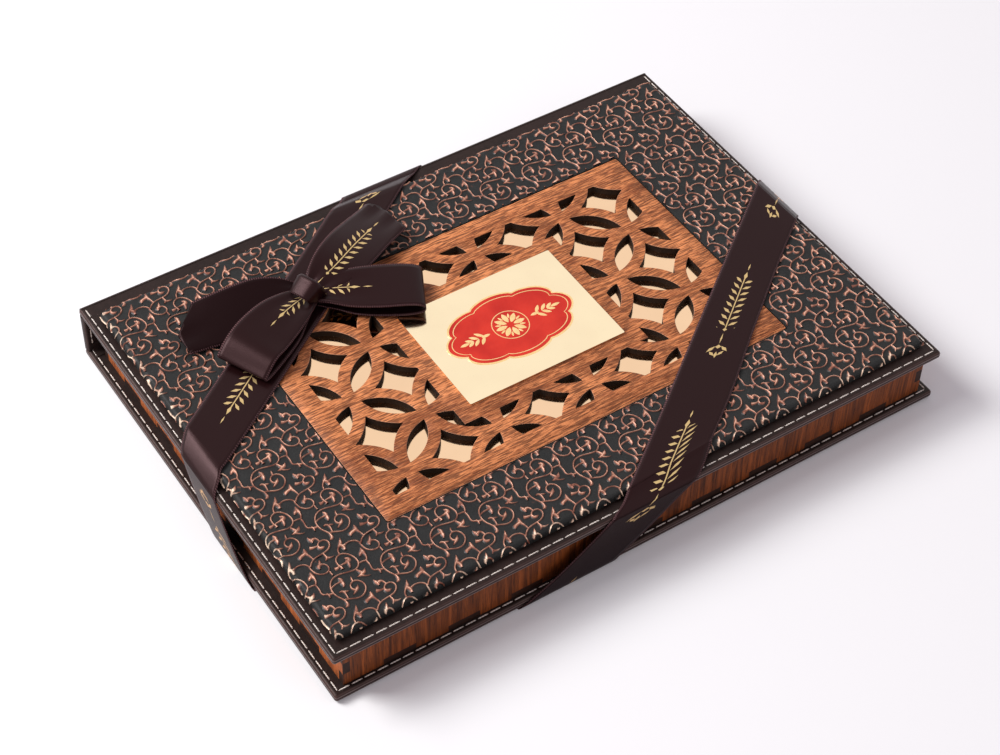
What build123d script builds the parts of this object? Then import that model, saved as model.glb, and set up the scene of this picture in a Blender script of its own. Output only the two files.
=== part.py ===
"""Book-style gift box for sweets: a sewn leather case of three boards that folds at its spine, a
finger-jointed wooden tray with dividers, a lid panel with pierced wooden fretwork, and a tied ribbon.

Units are millimetres. X runs along the long side, the fore-edge faces -Y, the spine faces +Y, and the
origin is under the middle of the box, on the surface that it stands on.
"""
import os
from math import hypot

from build123d import *

# ---- driving dimensions -------------------------------------------------------------------------
CASE_LENGTH = 275.0          # long side, left to right
CASE_WIDTH = 200.0           # fore-edge to spine
CASE_HEIGHT = 26.0           # outside of the base board to outside of the lid board
CORE_THICKNESS = 2.5         # grey board
LEATHER_THICKNESS = 0.5      # one skin of the case
BOARD_EDGE_RADIUS = 1.2      # leather rolled over the free edges
BOARD_CORNER_RADIUS = 1.0    # the same corners seen from above
LINING_INSET = 1.6           # the inner skin stops this far inside the rolled edge
FOLD_CLEARANCE = 0.3         # between the spine's ends and the boards that turn on them

TRAY_SIDE_MARGIN = 5.1       # the case overhangs the tray by this on the left and right
TRAY_FRONT_MARGIN = 3.2      # and by this along the fore-edge
TRAY_SPINE_GAP = 5.3         # free gap between the tray and the spine
WALL_THICKNESS = 3.0         # veneered fibreboard
LID_CLEARANCE = 0.3          # from the tray's rim to the closed lid
CORNER_FINGERS = 3           # fingers up each corner, shared by the two walls
TAB_PITCH = 13.6             # wanted length of one tab or gap along the floor joint

LINER_THICKNESS = 0.3        # paper under the sweets
LINER_CLEARANCE = 0.3
DIVIDER_THICKNESS = 2.0
DIVIDER_DROP = 2.0           # the dividers stop this far under the tray's rim
DIVIDER_CLEARANCE = 0.15
CROSS_DIVIDERS = 2

PANEL_SIDE_MARGIN = 5.0      # flat leather border round the raised panel
PANEL_FRONT_MARGIN = 6.3
PANEL_SPINE_MARGIN = 9.5
PANEL_HEIGHT = 3.5
PANEL_EDGE_RADIUS = 1.6
PANEL_CORNER_RADIUS = 2.0
PANEL_SKIN = 0.9             # embossed leather on thin padding
WINDOW_EDGE_RADIUS = 0.5

FRET_LENGTH = 182.8
FRET_WIDTH = 116.6
FRET_THICKNESS = 3.0
FRET_CORNER_RADIUS = 1.0
FRET_BORDER = 9.1            # solid frame round the pierced field
FRET_GAP = 0.4               # all round, inside the panel's window
RING_RADIUS = 20.6           # centre line of the interlaced rings
RING_BAND = 4.8              # width of each wooden ring
SMALLEST_HOLE = 8.0          # square millimetres; smaller scraps of the net stay solid
HEART_LENGTH = 84.8          # solid middle that carries the plate
HEART_WIDTH = 67.0
PLATE_LENGTH = 71.5
PLATE_WIDTH = 53.9
PLATE_THICKNESS = 0.8
PLATE_CORNER_RADIUS = 0.5

RIBBON_WIDTH = 22.0
RIBBON_THICKNESS = 0.4
RIBBON_SLACK = 0.3           # the ribbon's drops stand this far off the case
# where the middle of the ribbon crosses each edge of the closed case
SPINE_TOP_X = -0.5
LEFT_TOP_Y = -1.5
LEFT_BOTTOM_Y = -25.0
FRONT_BOTTOM_X = -37.0
FRONT_TOP_X = 2.6
RIGHT_TOP_Y = 2.8
RIGHT_BOTTOM_Y = 24.0
SPINE_BOTTOM_X = 36.0

KNOT_FROM_SPINE = 77.4       # along the top band
KNOT_SIDE = 3.7              # off the band's middle, towards the fore-edge
KNOT_LENGTH = 11.0           # along the bow
KNOT_WIDTH = 14.0
KNOT_HEIGHT = 9.5
KNOT_RIM = 1.2
KNOT_ANGLE = 20.0            # directions are seen from above, from +X
BOW_GAP = 0.1
GATHER_LENGTH = 22.5         # strips reach their full width this far from the knot's middle
LOOP_LENGTH = 46.0
LOOP_HEIGHT = 10.0
LOOP_RIGHT_ANGLE = -27.5
LOOP_LEFT_ANGLE = -153.5
TAIL_UPPER_LENGTH = 53.0
TAIL_UPPER_CUT = 6.0         # slant of the cut end
TAIL_UPPER_ANGLE = 26.0
TAIL_UPPER_HEIGHTS = (7.0, 9.5, 3.5)     # above the panel: at the knot, half way, at the end
TAIL_LEFT_LENGTH = 57.0
TAIL_LEFT_CUT = 18.0
TAIL_LEFT_ANGLE = 171.0
TAIL_LEFT_HEIGHTS = (0.6, 0.6)            # lies flat, under the loop beside it

# ---- sizes that follow ----------------------------------------------------------------------------
BOARD = CORE_THICKNESS + 2 * LEATHER_THICKNESS
FOLD_RADIUS = BOARD / 2
BASE_Z = RIBBON_THICKNESS
BASE_TOP_Z = BASE_Z + BOARD
LID_TOP_Z = BASE_Z + CASE_HEIGHT
LID_Z = LID_TOP_Z - BOARD
FRONT_Y = -CASE_WIDTH / 2
SPINE_Y = CASE_WIDTH / 2
LEFT_X = -CASE_LENGTH / 2
RIGHT_X = CASE_LENGTH / 2

TRAY_LENGTH = CASE_LENGTH - 2 * TRAY_SIDE_MARGIN
TRAY_FRONT_Y = FRONT_Y + TRAY_FRONT_MARGIN
TRAY_BACK_Y = SPINE_Y - BOARD - TRAY_SPINE_GAP
TRAY_WIDTH = TRAY_BACK_Y - TRAY_FRONT_Y
TRAY_Y = (TRAY_FRONT_Y + TRAY_BACK_Y) / 2
TRAY_HEIGHT = LID_Z - LID_CLEARANCE - BASE_TOP_Z
INNER_LENGTH = TRAY_LENGTH - 2 * WALL_THICKNESS
INNER_WIDTH = TRAY_WIDTH - 2 * WALL_THICKNESS

PANEL_FRONT_Y = FRONT_Y + PANEL_FRONT_MARGIN
PANEL_BACK_Y = SPINE_Y - PANEL_SPINE_MARGIN
PANEL_LENGTH = CASE_LENGTH - 2 * PANEL_SIDE_MARGIN
PANEL_WIDTH = PANEL_BACK_Y - PANEL_FRONT_Y
PANEL_Y = (PANEL_FRONT_Y + PANEL_BACK_Y) / 2
PANEL_TOP_Z = LID_TOP_Z + PANEL_HEIGHT
FRET_Z = PANEL_TOP_Z - FRET_THICKNESS
MIRROR_THICKNESS = PANEL_HEIGHT - FRET_THICKNESS


def box(x0, x1, y0, y1, z0, z1):
    """A block between two corners."""
    return Pos((x0 + x1) / 2, (y0 + y1) / 2, (z0 + z1) / 2) * Box(x1 - x0, y1 - y0, z1 - z0)


def middle_box(x, y, length, width, z0, z1):
    """A block about a middle point in plan."""
    return box(x - length / 2, x + length / 2, y - width / 2, y + width / 2, z0, z1)


# ---- the sewn case: base, spine and lid boards ------------------------------------------------------
def case_board(z0, inner_up):
    """Core, outer skin and inner skin of the base or lid; the edge at the spine is a full round."""
    slab = box(LEFT_X, RIGHT_X, FRONT_Y, SPINE_Y, z0, z0 + BOARD)
    spine_edges = slab.edges().filter_by(Axis.X).group_by(Axis.Y)[-1]
    slab = fillet(spine_edges, FOLD_RADIUS - 0.01)
    corners = slab.edges().filter_by(Axis.Z).group_by(Axis.Y)[0]
    slab = fillet(corners, BOARD_CORNER_RADIUS)
    rims = [e for e in slab.edges().filter_by(Axis.X).group_by(Axis.Y)[0]]
    slab = fillet(rims, BOARD_EDGE_RADIUS)
    core = box(LEFT_X + LEATHER_THICKNESS, RIGHT_X - LEATHER_THICKNESS, FRONT_Y + LEATHER_THICKNESS,
               SPINE_Y - LEATHER_THICKNESS, z0 + LEATHER_THICKNESS, z0 + BOARD - LEATHER_THICKNESS)
    core_ends = core.edges().filter_by(Axis.X).group_by(Axis.Y)[-1]
    core = fillet(core_ends, CORE_THICKNESS / 2 - 0.01)
    lining_z = z0 + BOARD - LEATHER_THICKNESS if inner_up else z0
    lining = box(LEFT_X + LINING_INSET, RIGHT_X - LINING_INSET, FRONT_Y + LINING_INSET,
                 SPINE_Y - FOLD_RADIUS, lining_z, lining_z + LEATHER_THICKNESS)
    return core, slab - core - lining, lining


base_board, base_outer_leather, base_inner_leather = case_board(BASE_Z, inner_up=True)
lid_board, lid_outer_leather, lid_inner_leather = case_board(LID_Z, inner_up=False)


def spine_pieces():
    """The spine stands between the two boards and turns on their rounded edges."""
    z0 = BASE_TOP_Z + FOLD_CLEARANCE
    z1 = LID_Z - FOLD_CLEARANCE
    slab = box(LEFT_X, RIGHT_X, SPINE_Y - BOARD, SPINE_Y, z0, z1)
    slab = fillet(slab.edges().filter_by(Axis.Z), BOARD_EDGE_RADIUS)
    core = box(LEFT_X + LEATHER_THICKNESS, RIGHT_X - LEATHER_THICKNESS, SPINE_Y - BOARD + LEATHER_THICKNESS,
               SPINE_Y - LEATHER_THICKNESS, z0 + LEATHER_THICKNESS, z1 - LEATHER_THICKNESS)
    lining = box(LEFT_X + LINING_INSET, RIGHT_X - LINING_INSET, SPINE_Y - BOARD,
                 SPINE_Y - BOARD + LEATHER_THICKNESS, z0, z1)
    return core, slab - core - lining, lining


spine_board, spine_outer_leather, spine_inner_leather = spine_pieces()


# ---- the tray: finger-jointed walls on a tabbed floor -------------------------------------------------
def odd_count(length, pitch):
    """The odd number of equal segments that comes nearest to a wanted pitch."""
    return 2 * max(1, round((length / pitch - 1) / 2)) + 1


def tab_spans(length):
    """Where the floor's tabs lie along a joint: every second segment, so both ends are wall."""
    count = odd_count(length, TAB_PITCH)
    step = length / count
    return [(-length / 2 + k * step, -length / 2 + (k + 1) * step) for k in range(1, count, 2)]


FLOOR_TOP_Z = BASE_TOP_Z + WALL_THICKNESS
TRAY_TOP_Z = BASE_TOP_Z + TRAY_HEIGHT
FINGER = TRAY_HEIGHT / CORNER_FINGERS


def corner_blocks(own_even):
    """The corner segments that one of the two walls gives up, at all four corners."""
    blocks = []
    for k in range(CORNER_FINGERS):
        if (k % 2 == 0) == own_even:
            continue
        for x0 in (-TRAY_LENGTH / 2, TRAY_LENGTH / 2 - WALL_THICKNESS):
            for y0 in (TRAY_FRONT_Y, TRAY_BACK_Y - WALL_THICKNESS):
                z0 = BASE_TOP_Z + k * FINGER
                blocks.append(box(x0, x0 + WALL_THICKNESS, y0, y0 + WALL_THICKNESS, z0, z0 + FINGER))
    return blocks


def floor_plate():
    """One board whose tabs pass through the walls and show outside as dark end grain."""
    plate = middle_box(0, TRAY_Y, INNER_LENGTH, INNER_WIDTH, BASE_TOP_Z, FLOOR_TOP_Z)
    tabs = [box(a, b, TRAY_FRONT_Y, TRAY_BACK_Y, BASE_TOP_Z, FLOOR_TOP_Z) for a, b in tab_spans(INNER_LENGTH)]
    tabs += [box(-TRAY_LENGTH / 2, TRAY_LENGTH / 2, TRAY_Y + a, TRAY_Y + b, BASE_TOP_Z, FLOOR_TOP_Z)
             for a, b in tab_spans(INNER_WIDTH)]
    return plate.fuse(*tabs).clean()


tray_floor = floor_plate()


def long_wall(y0):
    """Front or back wall: it keeps the lowest and highest corner fingers."""
    wall = box(-TRAY_LENGTH / 2, TRAY_LENGTH / 2, y0, y0 + WALL_THICKNESS, BASE_TOP_Z, TRAY_TOP_Z)
    return wall.cut(tray_floor, *corner_blocks(own_even=True))


def short_wall(x0):
    """Left or right wall: it keeps the middle corner finger."""
    wall = box(x0, x0 + WALL_THICKNESS, TRAY_FRONT_Y, TRAY_BACK_Y, BASE_TOP_Z, TRAY_TOP_Z)
    return wall.cut(tray_floor, *corner_blocks(own_even=False))


tray_front_wall = long_wall(TRAY_FRONT_Y)
tray_back_wall = long_wall(TRAY_BACK_Y - WALL_THICKNESS)
tray_left_wall = short_wall(-TRAY_LENGTH / 2)
tray_right_wall = short_wall(TRAY_LENGTH / 2 - WALL_THICKNESS)

# ---- liner paper and cross-lapped dividers -----------------------------------------------------------
LINER_TOP_Z = FLOOR_TOP_Z + LINER_THICKNESS
DIVIDER_TOP_Z = TRAY_TOP_Z - DIVIDER_DROP
LAP_Z = (LINER_TOP_Z + DIVIDER_TOP_Z) / 2
liner_sheet = middle_box(0, TRAY_Y, INNER_LENGTH - 2 * LINER_CLEARANCE, INNER_WIDTH - 2 * LINER_CLEARANCE,
                         FLOOR_TOP_Z, LINER_TOP_Z)
cross_places = [INNER_LENGTH * ((k + 1) / (CROSS_DIVIDERS + 1) - 0.5) for k in range(CROSS_DIVIDERS)]
LAP_WIDTH = DIVIDER_THICKNESS + 2 * DIVIDER_CLEARANCE


def long_divider():
    """Runs the length of the tray, slotted from above."""
    strip = middle_box(0, TRAY_Y, INNER_LENGTH - 2 * DIVIDER_CLEARANCE, DIVIDER_THICKNESS,
                       LINER_TOP_Z, DIVIDER_TOP_Z)
    slots = [middle_box(x, TRAY_Y, LAP_WIDTH, LAP_WIDTH, LAP_Z, DIVIDER_TOP_Z) for x in cross_places]
    return strip.cut(*slots)


def cross_divider(x):
    """Runs across the tray, slotted from below to drop over the long one."""
    strip = middle_box(x, TRAY_Y, DIVIDER_THICKNESS, INNER_WIDTH - 2 * DIVIDER_CLEARANCE,
                       LINER_TOP_Z, DIVIDER_TOP_Z)
    return strip - middle_box(x, TRAY_Y, LAP_WIDTH, LAP_WIDTH, LINER_TOP_Z, LAP_Z + DIVIDER_CLEARANCE)


divider_long = long_divider()
cross_dividers = {f"divider_cross_{k + 1}": cross_divider(x) for k, x in enumerate(cross_places)}


# ---- raised lid panel -----------------------------------------------------------------------------------
def raised_panel():
    """A board frame wrapped in embossed leather, with a window for the fretwork."""
    window = (FRET_LENGTH + 2 * FRET_GAP, FRET_WIDTH + 2 * FRET_GAP)
    block = middle_box(0, PANEL_Y, PANEL_LENGTH, PANEL_WIDTH, LID_TOP_Z, PANEL_TOP_Z)
    block = fillet(block.edges().filter_by(Axis.Z), PANEL_CORNER_RADIUS)
    block = fillet(block.faces().sort_by(Axis.Z)[-1].edges(), PANEL_EDGE_RADIUS)
    hole = middle_box(0, PANEL_Y, *window, LID_TOP_Z, PANEL_TOP_Z)
    block -= fillet(hole.edges().filter_by(Axis.Z), FRET_CORNER_RADIUS)
    core = middle_box(0, PANEL_Y, PANEL_LENGTH - 2 * PANEL_SKIN, PANEL_WIDTH - 2 * PANEL_SKIN,
                      LID_TOP_Z, PANEL_TOP_Z - PANEL_SKIN)
    core = fillet(core.edges().filter_by(Axis.Z), PANEL_CORNER_RADIUS)
    core = fillet(core.faces().sort_by(Axis.Z)[-1].edges(), PANEL_SKIN)
    core -= middle_box(0, PANEL_Y, window[0] + 2 * PANEL_SKIN, window[1] + 2 * PANEL_SKIN,
                       LID_TOP_Z, PANEL_TOP_Z)
    return core, block - core


panel_board, panel_leather = raised_panel()

mirror_sheet = middle_box(0, PANEL_Y, FRET_LENGTH, FRET_WIDTH, LID_TOP_Z, FRET_Z)
mirror_sheet = fillet(mirror_sheet.edges().filter_by(Axis.Z), FRET_CORNER_RADIUS)


# ---- fretwork: interlaced rings in a frame, round a solid heart ------------------------------------------
def ring_centres(half_length, half_width):
    """Rings sit on every second node of a square net whose pitch is their own radius."""
    columns = int(half_length / RING_RADIUS) + 2
    rows = int(half_width / RING_RADIUS) + 2
    reach = RING_RADIUS + RING_BAND / 2
    places = []
    for i in range(-columns, columns):
        for j in range(-rows, rows + 1):
            x = (i + 0.5) * RING_RADIUS
            y = j * RING_RADIUS
            if (i + j) % 2 and abs(x) < half_length + reach and abs(y) < half_width + reach:
                places.append((x, y))
    return places


def fretwork():
    """Rings of one band width, trimmed by the frame and by the heart."""
    field_length = FRET_LENGTH - 2 * FRET_BORDER
    field_width = FRET_WIDTH - 2 * FRET_BORDER
    centres = ring_centres(field_length / 2, field_width / 2)
    rings = Sketch() + [Pos(*c) * (Circle(RING_RADIUS + RING_BAND / 2) - Circle(RING_RADIUS - RING_BAND / 2))
                        for c in centres]
    field = Rectangle(field_length, field_width) - Rectangle(HEART_LENGTH, HEART_WIDTH) - rings
    plate = RectangleRounded(FRET_LENGTH, FRET_WIDTH, FRET_CORNER_RADIUS)
    plate -= [hole for hole in field.faces() if hole.area > SMALLEST_HOLE]
    return Pos(0, PANEL_Y, FRET_Z) * extrude(plate, FRET_THICKNESS)


fretwork_panel = fretwork()

plate = middle_box(0, PANEL_Y, PLATE_LENGTH, PLATE_WIDTH, PANEL_TOP_Z, PANEL_TOP_Z + PLATE_THICKNESS)
centre_plate = fillet(plate.edges().filter_by(Axis.Z), PLATE_CORNER_RADIUS)


# ---- ribbon: one loop, wound slantwise over two corners ---------------------------------------------------
def crossing(centre, toward, edge_axis):
    """The two ends of the ribbon's crossing line on an edge along X or Y."""
    dx, dy = toward[0] - centre[0], toward[1] - centre[1]
    share = abs(dy if edge_axis == "X" else dx) / hypot(dx, dy)
    half = RIBBON_WIDTH / 2 / share
    if edge_axis == "X":
        return (centre[0] - half, centre[1]), (centre[0] + half, centre[1])
    return (centre[0], centre[1] - half), (centre[0], centre[1] + half)


def quad_face(points):
    """A flat four-cornered face in the XY plane."""
    return make_face(Polyline(*points, close=True))


OUT = RIBBON_SLACK + RIBBON_THICKNESS
spine_top = (SPINE_TOP_X, SPINE_Y)
left_top = (LEFT_X, LEFT_TOP_Y)
front_top = (FRONT_TOP_X, FRONT_Y)
right_top = (RIGHT_X, RIGHT_TOP_Y)
left_bottom = (LEFT_X, LEFT_BOTTOM_Y)
front_bottom = (FRONT_BOTTOM_X, FRONT_Y)
right_bottom = (RIGHT_X, RIGHT_BOTTOM_Y)
spine_bottom = (SPINE_BOTTOM_X, SPINE_Y)

spine_top_span = crossing(spine_top, left_top, "X")
left_top_span = crossing(left_top, spine_top, "Y")
front_top_span = crossing(front_top, right_top, "X")
right_top_span = crossing(right_top, front_top, "Y")
left_bottom_span = crossing(left_bottom, front_bottom, "Y")
front_bottom_span = crossing(front_bottom, left_bottom, "X")
right_bottom_span = crossing(right_bottom, spine_bottom, "Y")
spine_bottom_span = crossing(spine_bottom, right_bottom, "X")


def tent(grow):
    """The shape that a taut ribbon lies on: lid edge up to the raised panel, thickened by grow."""
    front, back = FRONT_Y - OUT, SPINE_Y - FOLD_RADIUS
    foot = Pos(0, (front + back) / 2, LID_TOP_Z + grow) * Rectangle(CASE_LENGTH + 2 * OUT, back - front)
    head = Pos(0, PANEL_Y, PANEL_TOP_Z + grow) * Rectangle(PANEL_LENGTH, PANEL_WIDTH)
    roof = loft([foot.face(), head.face()], ruled=True)
    if grow:
        roof += box(LEFT_X - OUT, RIGHT_X + OUT, front, back, LID_TOP_Z, LID_TOP_Z + grow)
    return roof


def top_band(first, second):
    """A slanting strip of the ribbon over the lid, between two edge crossings."""
    strip = quad_face([first[0], first[1], second[1], second[0]])
    prism = Pos(0, 0, LID_TOP_Z) * extrude(strip, 2 * PANEL_HEIGHT)
    return (tent(RIBBON_THICKNESS) - tent(0)) & prism


def stretched(span, other, reach):
    """An edge crossing moved outwards along the ribbon, so that the strip covers its own drop."""
    mids = [((s[0][0] + s[1][0]) / 2, (s[0][1] + s[1][1]) / 2) for s in (span, other)]
    dx, dy = mids[0][0] - mids[1][0], mids[0][1] - mids[1][1]
    on_x_edge = span[0][1] == span[1][1]
    k = reach / abs(dy if on_x_edge else dx)
    return tuple((p[0] + dx * k, p[1] + dy * k) for p in span)


bow_left, bow_spine = stretched(left_top_span, spine_top_span, OUT), spine_top_span
ribbon_band_bow = top_band((bow_left[1], bow_left[0]), bow_spine)
plain_front = stretched(front_top_span, right_top_span, OUT)
plain_right = stretched(right_top_span, front_top_span, OUT)
ribbon_band_plain = top_band(plain_front, (plain_right[1], plain_right[0]))


def under_band(first, second):
    """The strip that crosses a corner under the base; the box stands on it."""
    strip = quad_face([first[0], first[1], second[1], second[0]])
    return extrude(strip, RIBBON_THICKNESS)


ribbon_under_front = under_band(left_bottom_span, (front_bottom_span[1], front_bottom_span[0])[::-1])
ribbon_under_back = under_band(right_bottom_span, (spine_bottom_span[1], spine_bottom_span[0])[::-1])


def side_drop(x_face, top_span, bottom_span, sign):
    """A drop down the left or right end, standing just off the case."""
    points = [(top_span[0][1], LID_TOP_Z), (top_span[1][1], LID_TOP_Z),
              (bottom_span[1][1], BASE_Z), (bottom_span[0][1], BASE_Z)]
    face = make_face(Plane.YZ * Polyline(*points, close=True))
    start = x_face + sign * RIBBON_SLACK
    return Pos(start, 0, 0) * extrude(face, sign * RIBBON_THICKNESS, dir=(1, 0, 0))


def long_drop(y_face, top_span, bottom_span, top_z, bottom_z, sign):
    """A drop down the fore-edge or the spine, standing just off the case."""
    points = [(top_span[0][0], top_z), (top_span[1][0], top_z),
              (bottom_span[1][0], bottom_z), (bottom_span[0][0], bottom_z)]
    face = make_face(Plane.XZ * Polyline(*points, close=True))
    start = y_face + sign * RIBBON_SLACK
    return Pos(0, start, 0) * extrude(face, sign * RIBBON_THICKNESS, dir=(0, 1, 0))


ribbon_drop_left = side_drop(LEFT_X, left_top_span, left_bottom_span, -1)
ribbon_drop_right = side_drop(RIGHT_X, right_top_span, right_bottom_span, 1)
ribbon_drop_front = long_drop(FRONT_Y, front_top_span, front_bottom_span, LID_TOP_Z, BASE_Z, -1)
ribbon_drop_spine = long_drop(SPINE_Y, spine_top_span, spine_bottom_span,
                              LID_Z - FOLD_CLEARANCE, BASE_TOP_Z + FOLD_CLEARANCE, 1)

# ---- bow --------------------------------------------------------------------------------------------------
BAND_TOP_Z = PANEL_TOP_Z + RIBBON_THICKNESS
KNOT_Z = BAND_TOP_Z + BOW_GAP
LOOP_Z = PANEL_TOP_Z + PLATE_THICKNESS + BOW_GAP
band_run = Vector(left_top[0] - spine_top[0], left_top[1] - spine_top[1]).normalized()
knot_place = Vector(*spine_top) + band_run * KNOT_FROM_SPINE + Vector(-band_run.Y, band_run.X) * KNOT_SIDE


def about_knot(shape, angle):
    """Puts something that was drawn along +X on its side of the knot."""
    return Pos(knot_place.X, knot_place.Y, 0) * Rot(0, 0, angle) * shape


def knot():
    """One turn of ribbon round the bow's waist: a short barrel of stadium section."""
    barrel = extrude(Plane.YZ * SlotOverall(KNOT_WIDTH, KNOT_HEIGHT), KNOT_LENGTH / 2, both=True)
    rims = barrel.faces().filter_by(Axis.X).edges()
    return about_knot(Pos(0, 0, KNOT_Z + KNOT_HEIGHT / 2) * chamfer(rims, KNOT_RIM), KNOT_ANGLE)


bow_knot = knot()


def bow_strip(profile, angle, length, cut=0.0):
    """A folded strip seen from its side, given its width, gathered towards the knot and cut on a slant."""
    strip = extrude(Plane.XZ * profile, RIBBON_WIDTH / 2, both=True)
    side = RIBBON_WIDTH / 2
    outline = quad_face([(0, 0), (GATHER_LENGTH, -side), (length - cut, -side), (length, side), (GATHER_LENGTH, side)])
    return about_knot(strip & extrude(outline, LOOP_Z + 2 * LOOP_HEIGHT), angle) - bow_knot


def bow_loop(angle):
    """A loop runs out low over the lid, turns round and comes back over itself to the knot."""
    turn = LOOP_HEIGHT / 2 - RIBBON_THICKNESS
    outer = Circle(LOOP_HEIGHT / 2).face()
    inner = Circle(turn).face()
    start, centre, waist = KNOT_LENGTH / 4, LOOP_LENGTH - LOOP_HEIGHT / 2, KNOT_HEIGHT / 2
    middle = KNOT_Z + waist - LOOP_Z - LOOP_HEIGHT / 2
    back = quad_face([(start - centre, middle - waist / 2), (0, -LOOP_HEIGHT / 2), (0, LOOP_HEIGHT / 2), (start - centre, middle + waist / 2)])
    hollow = quad_face([(start - centre, middle - waist / 2 + RIBBON_THICKNESS), (0, -turn), (0, turn), (start - centre, middle + waist / 2 - RIBBON_THICKNESS)])
    profile = (Sketch() + [outer, back]) - inner - hollow
    return bow_strip(Pos(centre, LOOP_Z + LOOP_HEIGHT / 2) * profile, angle, LOOP_LENGTH)


def bow_tail(length, cut, angle, heights):
    """A tail leaves the knot, arched through three heights or flat through two, and ends in a slanted cut."""
    run = ThreePointArc if len(heights) == 3 else Line
    low = [(length * i / (len(heights) - 1), PANEL_TOP_Z + z) for i, z in enumerate(heights)]
    high = [(x, z + RIBBON_THICKNESS) for x, z in low]
    profile = make_face([run(*low), Line(low[-1], high[-1]), run(*reversed(high)), Line(high[0], low[0])])
    return bow_strip(profile, angle, length, cut)


bow_loop_right = bow_loop(LOOP_RIGHT_ANGLE)
bow_loop_left = bow_loop(LOOP_LEFT_ANGLE)
bow_tail_upper = bow_tail(TAIL_UPPER_LENGTH, TAIL_UPPER_CUT, TAIL_UPPER_ANGLE, TAIL_UPPER_HEIGHTS)
bow_tail_left = bow_tail(TAIL_LEFT_LENGTH, TAIL_LEFT_CUT, TAIL_LEFT_ANGLE, TAIL_LEFT_HEIGHTS)

# ---- export --------------------------------------------------------------------------------------------------
nodes = {
    "base_board": base_board,
    "base_outer_leather": base_outer_leather,
    "base_inner_leather": base_inner_leather,
    "spine_board": spine_board,
    "spine_outer_leather": spine_outer_leather,
    "spine_inner_leather": spine_inner_leather,
    "lid_board": lid_board,
    "lid_outer_leather": lid_outer_leather,
    "lid_inner_leather": lid_inner_leather,
    "tray_floor": tray_floor,
    "tray_front_wall": tray_front_wall,
    "tray_back_wall": tray_back_wall,
    "tray_left_wall": tray_left_wall,
    "tray_right_wall": tray_right_wall,
    "liner_sheet": liner_sheet,
    "divider_long": divider_long,
    **cross_dividers,
    "panel_board": panel_board,
    "panel_leather": panel_leather,
    "mirror_sheet": mirror_sheet,
    "fretwork_panel": fretwork_panel,
    "centre_plate": centre_plate,
    "ribbon_band_bow": ribbon_band_bow,
    "ribbon_band_plain": ribbon_band_plain,
    "ribbon_under_front": ribbon_under_front,
    "ribbon_under_back": ribbon_under_back,
    "ribbon_drop_left": ribbon_drop_left,
    "ribbon_drop_right": ribbon_drop_right,
    "ribbon_drop_front": ribbon_drop_front,
    "ribbon_drop_spine": ribbon_drop_spine,
    "bow_knot": bow_knot,
    "bow_loop_right": bow_loop_right,
    "bow_loop_left": bow_loop_left,
    "bow_tail_upper": bow_tail_upper,
    "bow_tail_left": bow_tail_left,
}

os.makedirs("parts", exist_ok=True)
for name, shape in nodes.items():
    export_step(shape, f"parts/{name}.step")
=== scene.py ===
from functools import partialmethod
from math import atan2, cos, pi, radians, sin

import bmesh
import bpy
from bmesh.types import BMEdge, BMVert
from mathutils import Matrix, Vector


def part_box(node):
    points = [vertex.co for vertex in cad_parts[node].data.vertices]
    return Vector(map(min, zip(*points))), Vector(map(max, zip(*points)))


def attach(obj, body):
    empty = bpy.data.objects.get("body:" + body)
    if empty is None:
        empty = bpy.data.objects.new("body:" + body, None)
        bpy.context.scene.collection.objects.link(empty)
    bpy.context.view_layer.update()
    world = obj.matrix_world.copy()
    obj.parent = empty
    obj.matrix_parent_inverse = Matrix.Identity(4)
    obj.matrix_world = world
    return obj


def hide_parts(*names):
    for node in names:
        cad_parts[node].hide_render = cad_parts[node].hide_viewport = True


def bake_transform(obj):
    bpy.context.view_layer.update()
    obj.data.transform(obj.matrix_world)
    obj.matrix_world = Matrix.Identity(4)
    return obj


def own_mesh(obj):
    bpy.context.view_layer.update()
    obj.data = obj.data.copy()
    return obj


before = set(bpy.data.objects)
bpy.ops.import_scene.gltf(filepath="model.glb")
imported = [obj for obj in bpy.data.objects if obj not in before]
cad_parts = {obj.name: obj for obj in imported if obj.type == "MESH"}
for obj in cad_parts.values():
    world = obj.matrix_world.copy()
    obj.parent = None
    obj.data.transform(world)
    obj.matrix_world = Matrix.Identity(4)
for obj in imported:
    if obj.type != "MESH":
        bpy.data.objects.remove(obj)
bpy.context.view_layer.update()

mm = 0.001

# ----------------------------------------
# Studio. A pale table under a wide soft lamp high beyond the left end, two weak ones, and white all
# round. The table keeps the box's shadow, and metal sees the same white that the camera sees.


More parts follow.
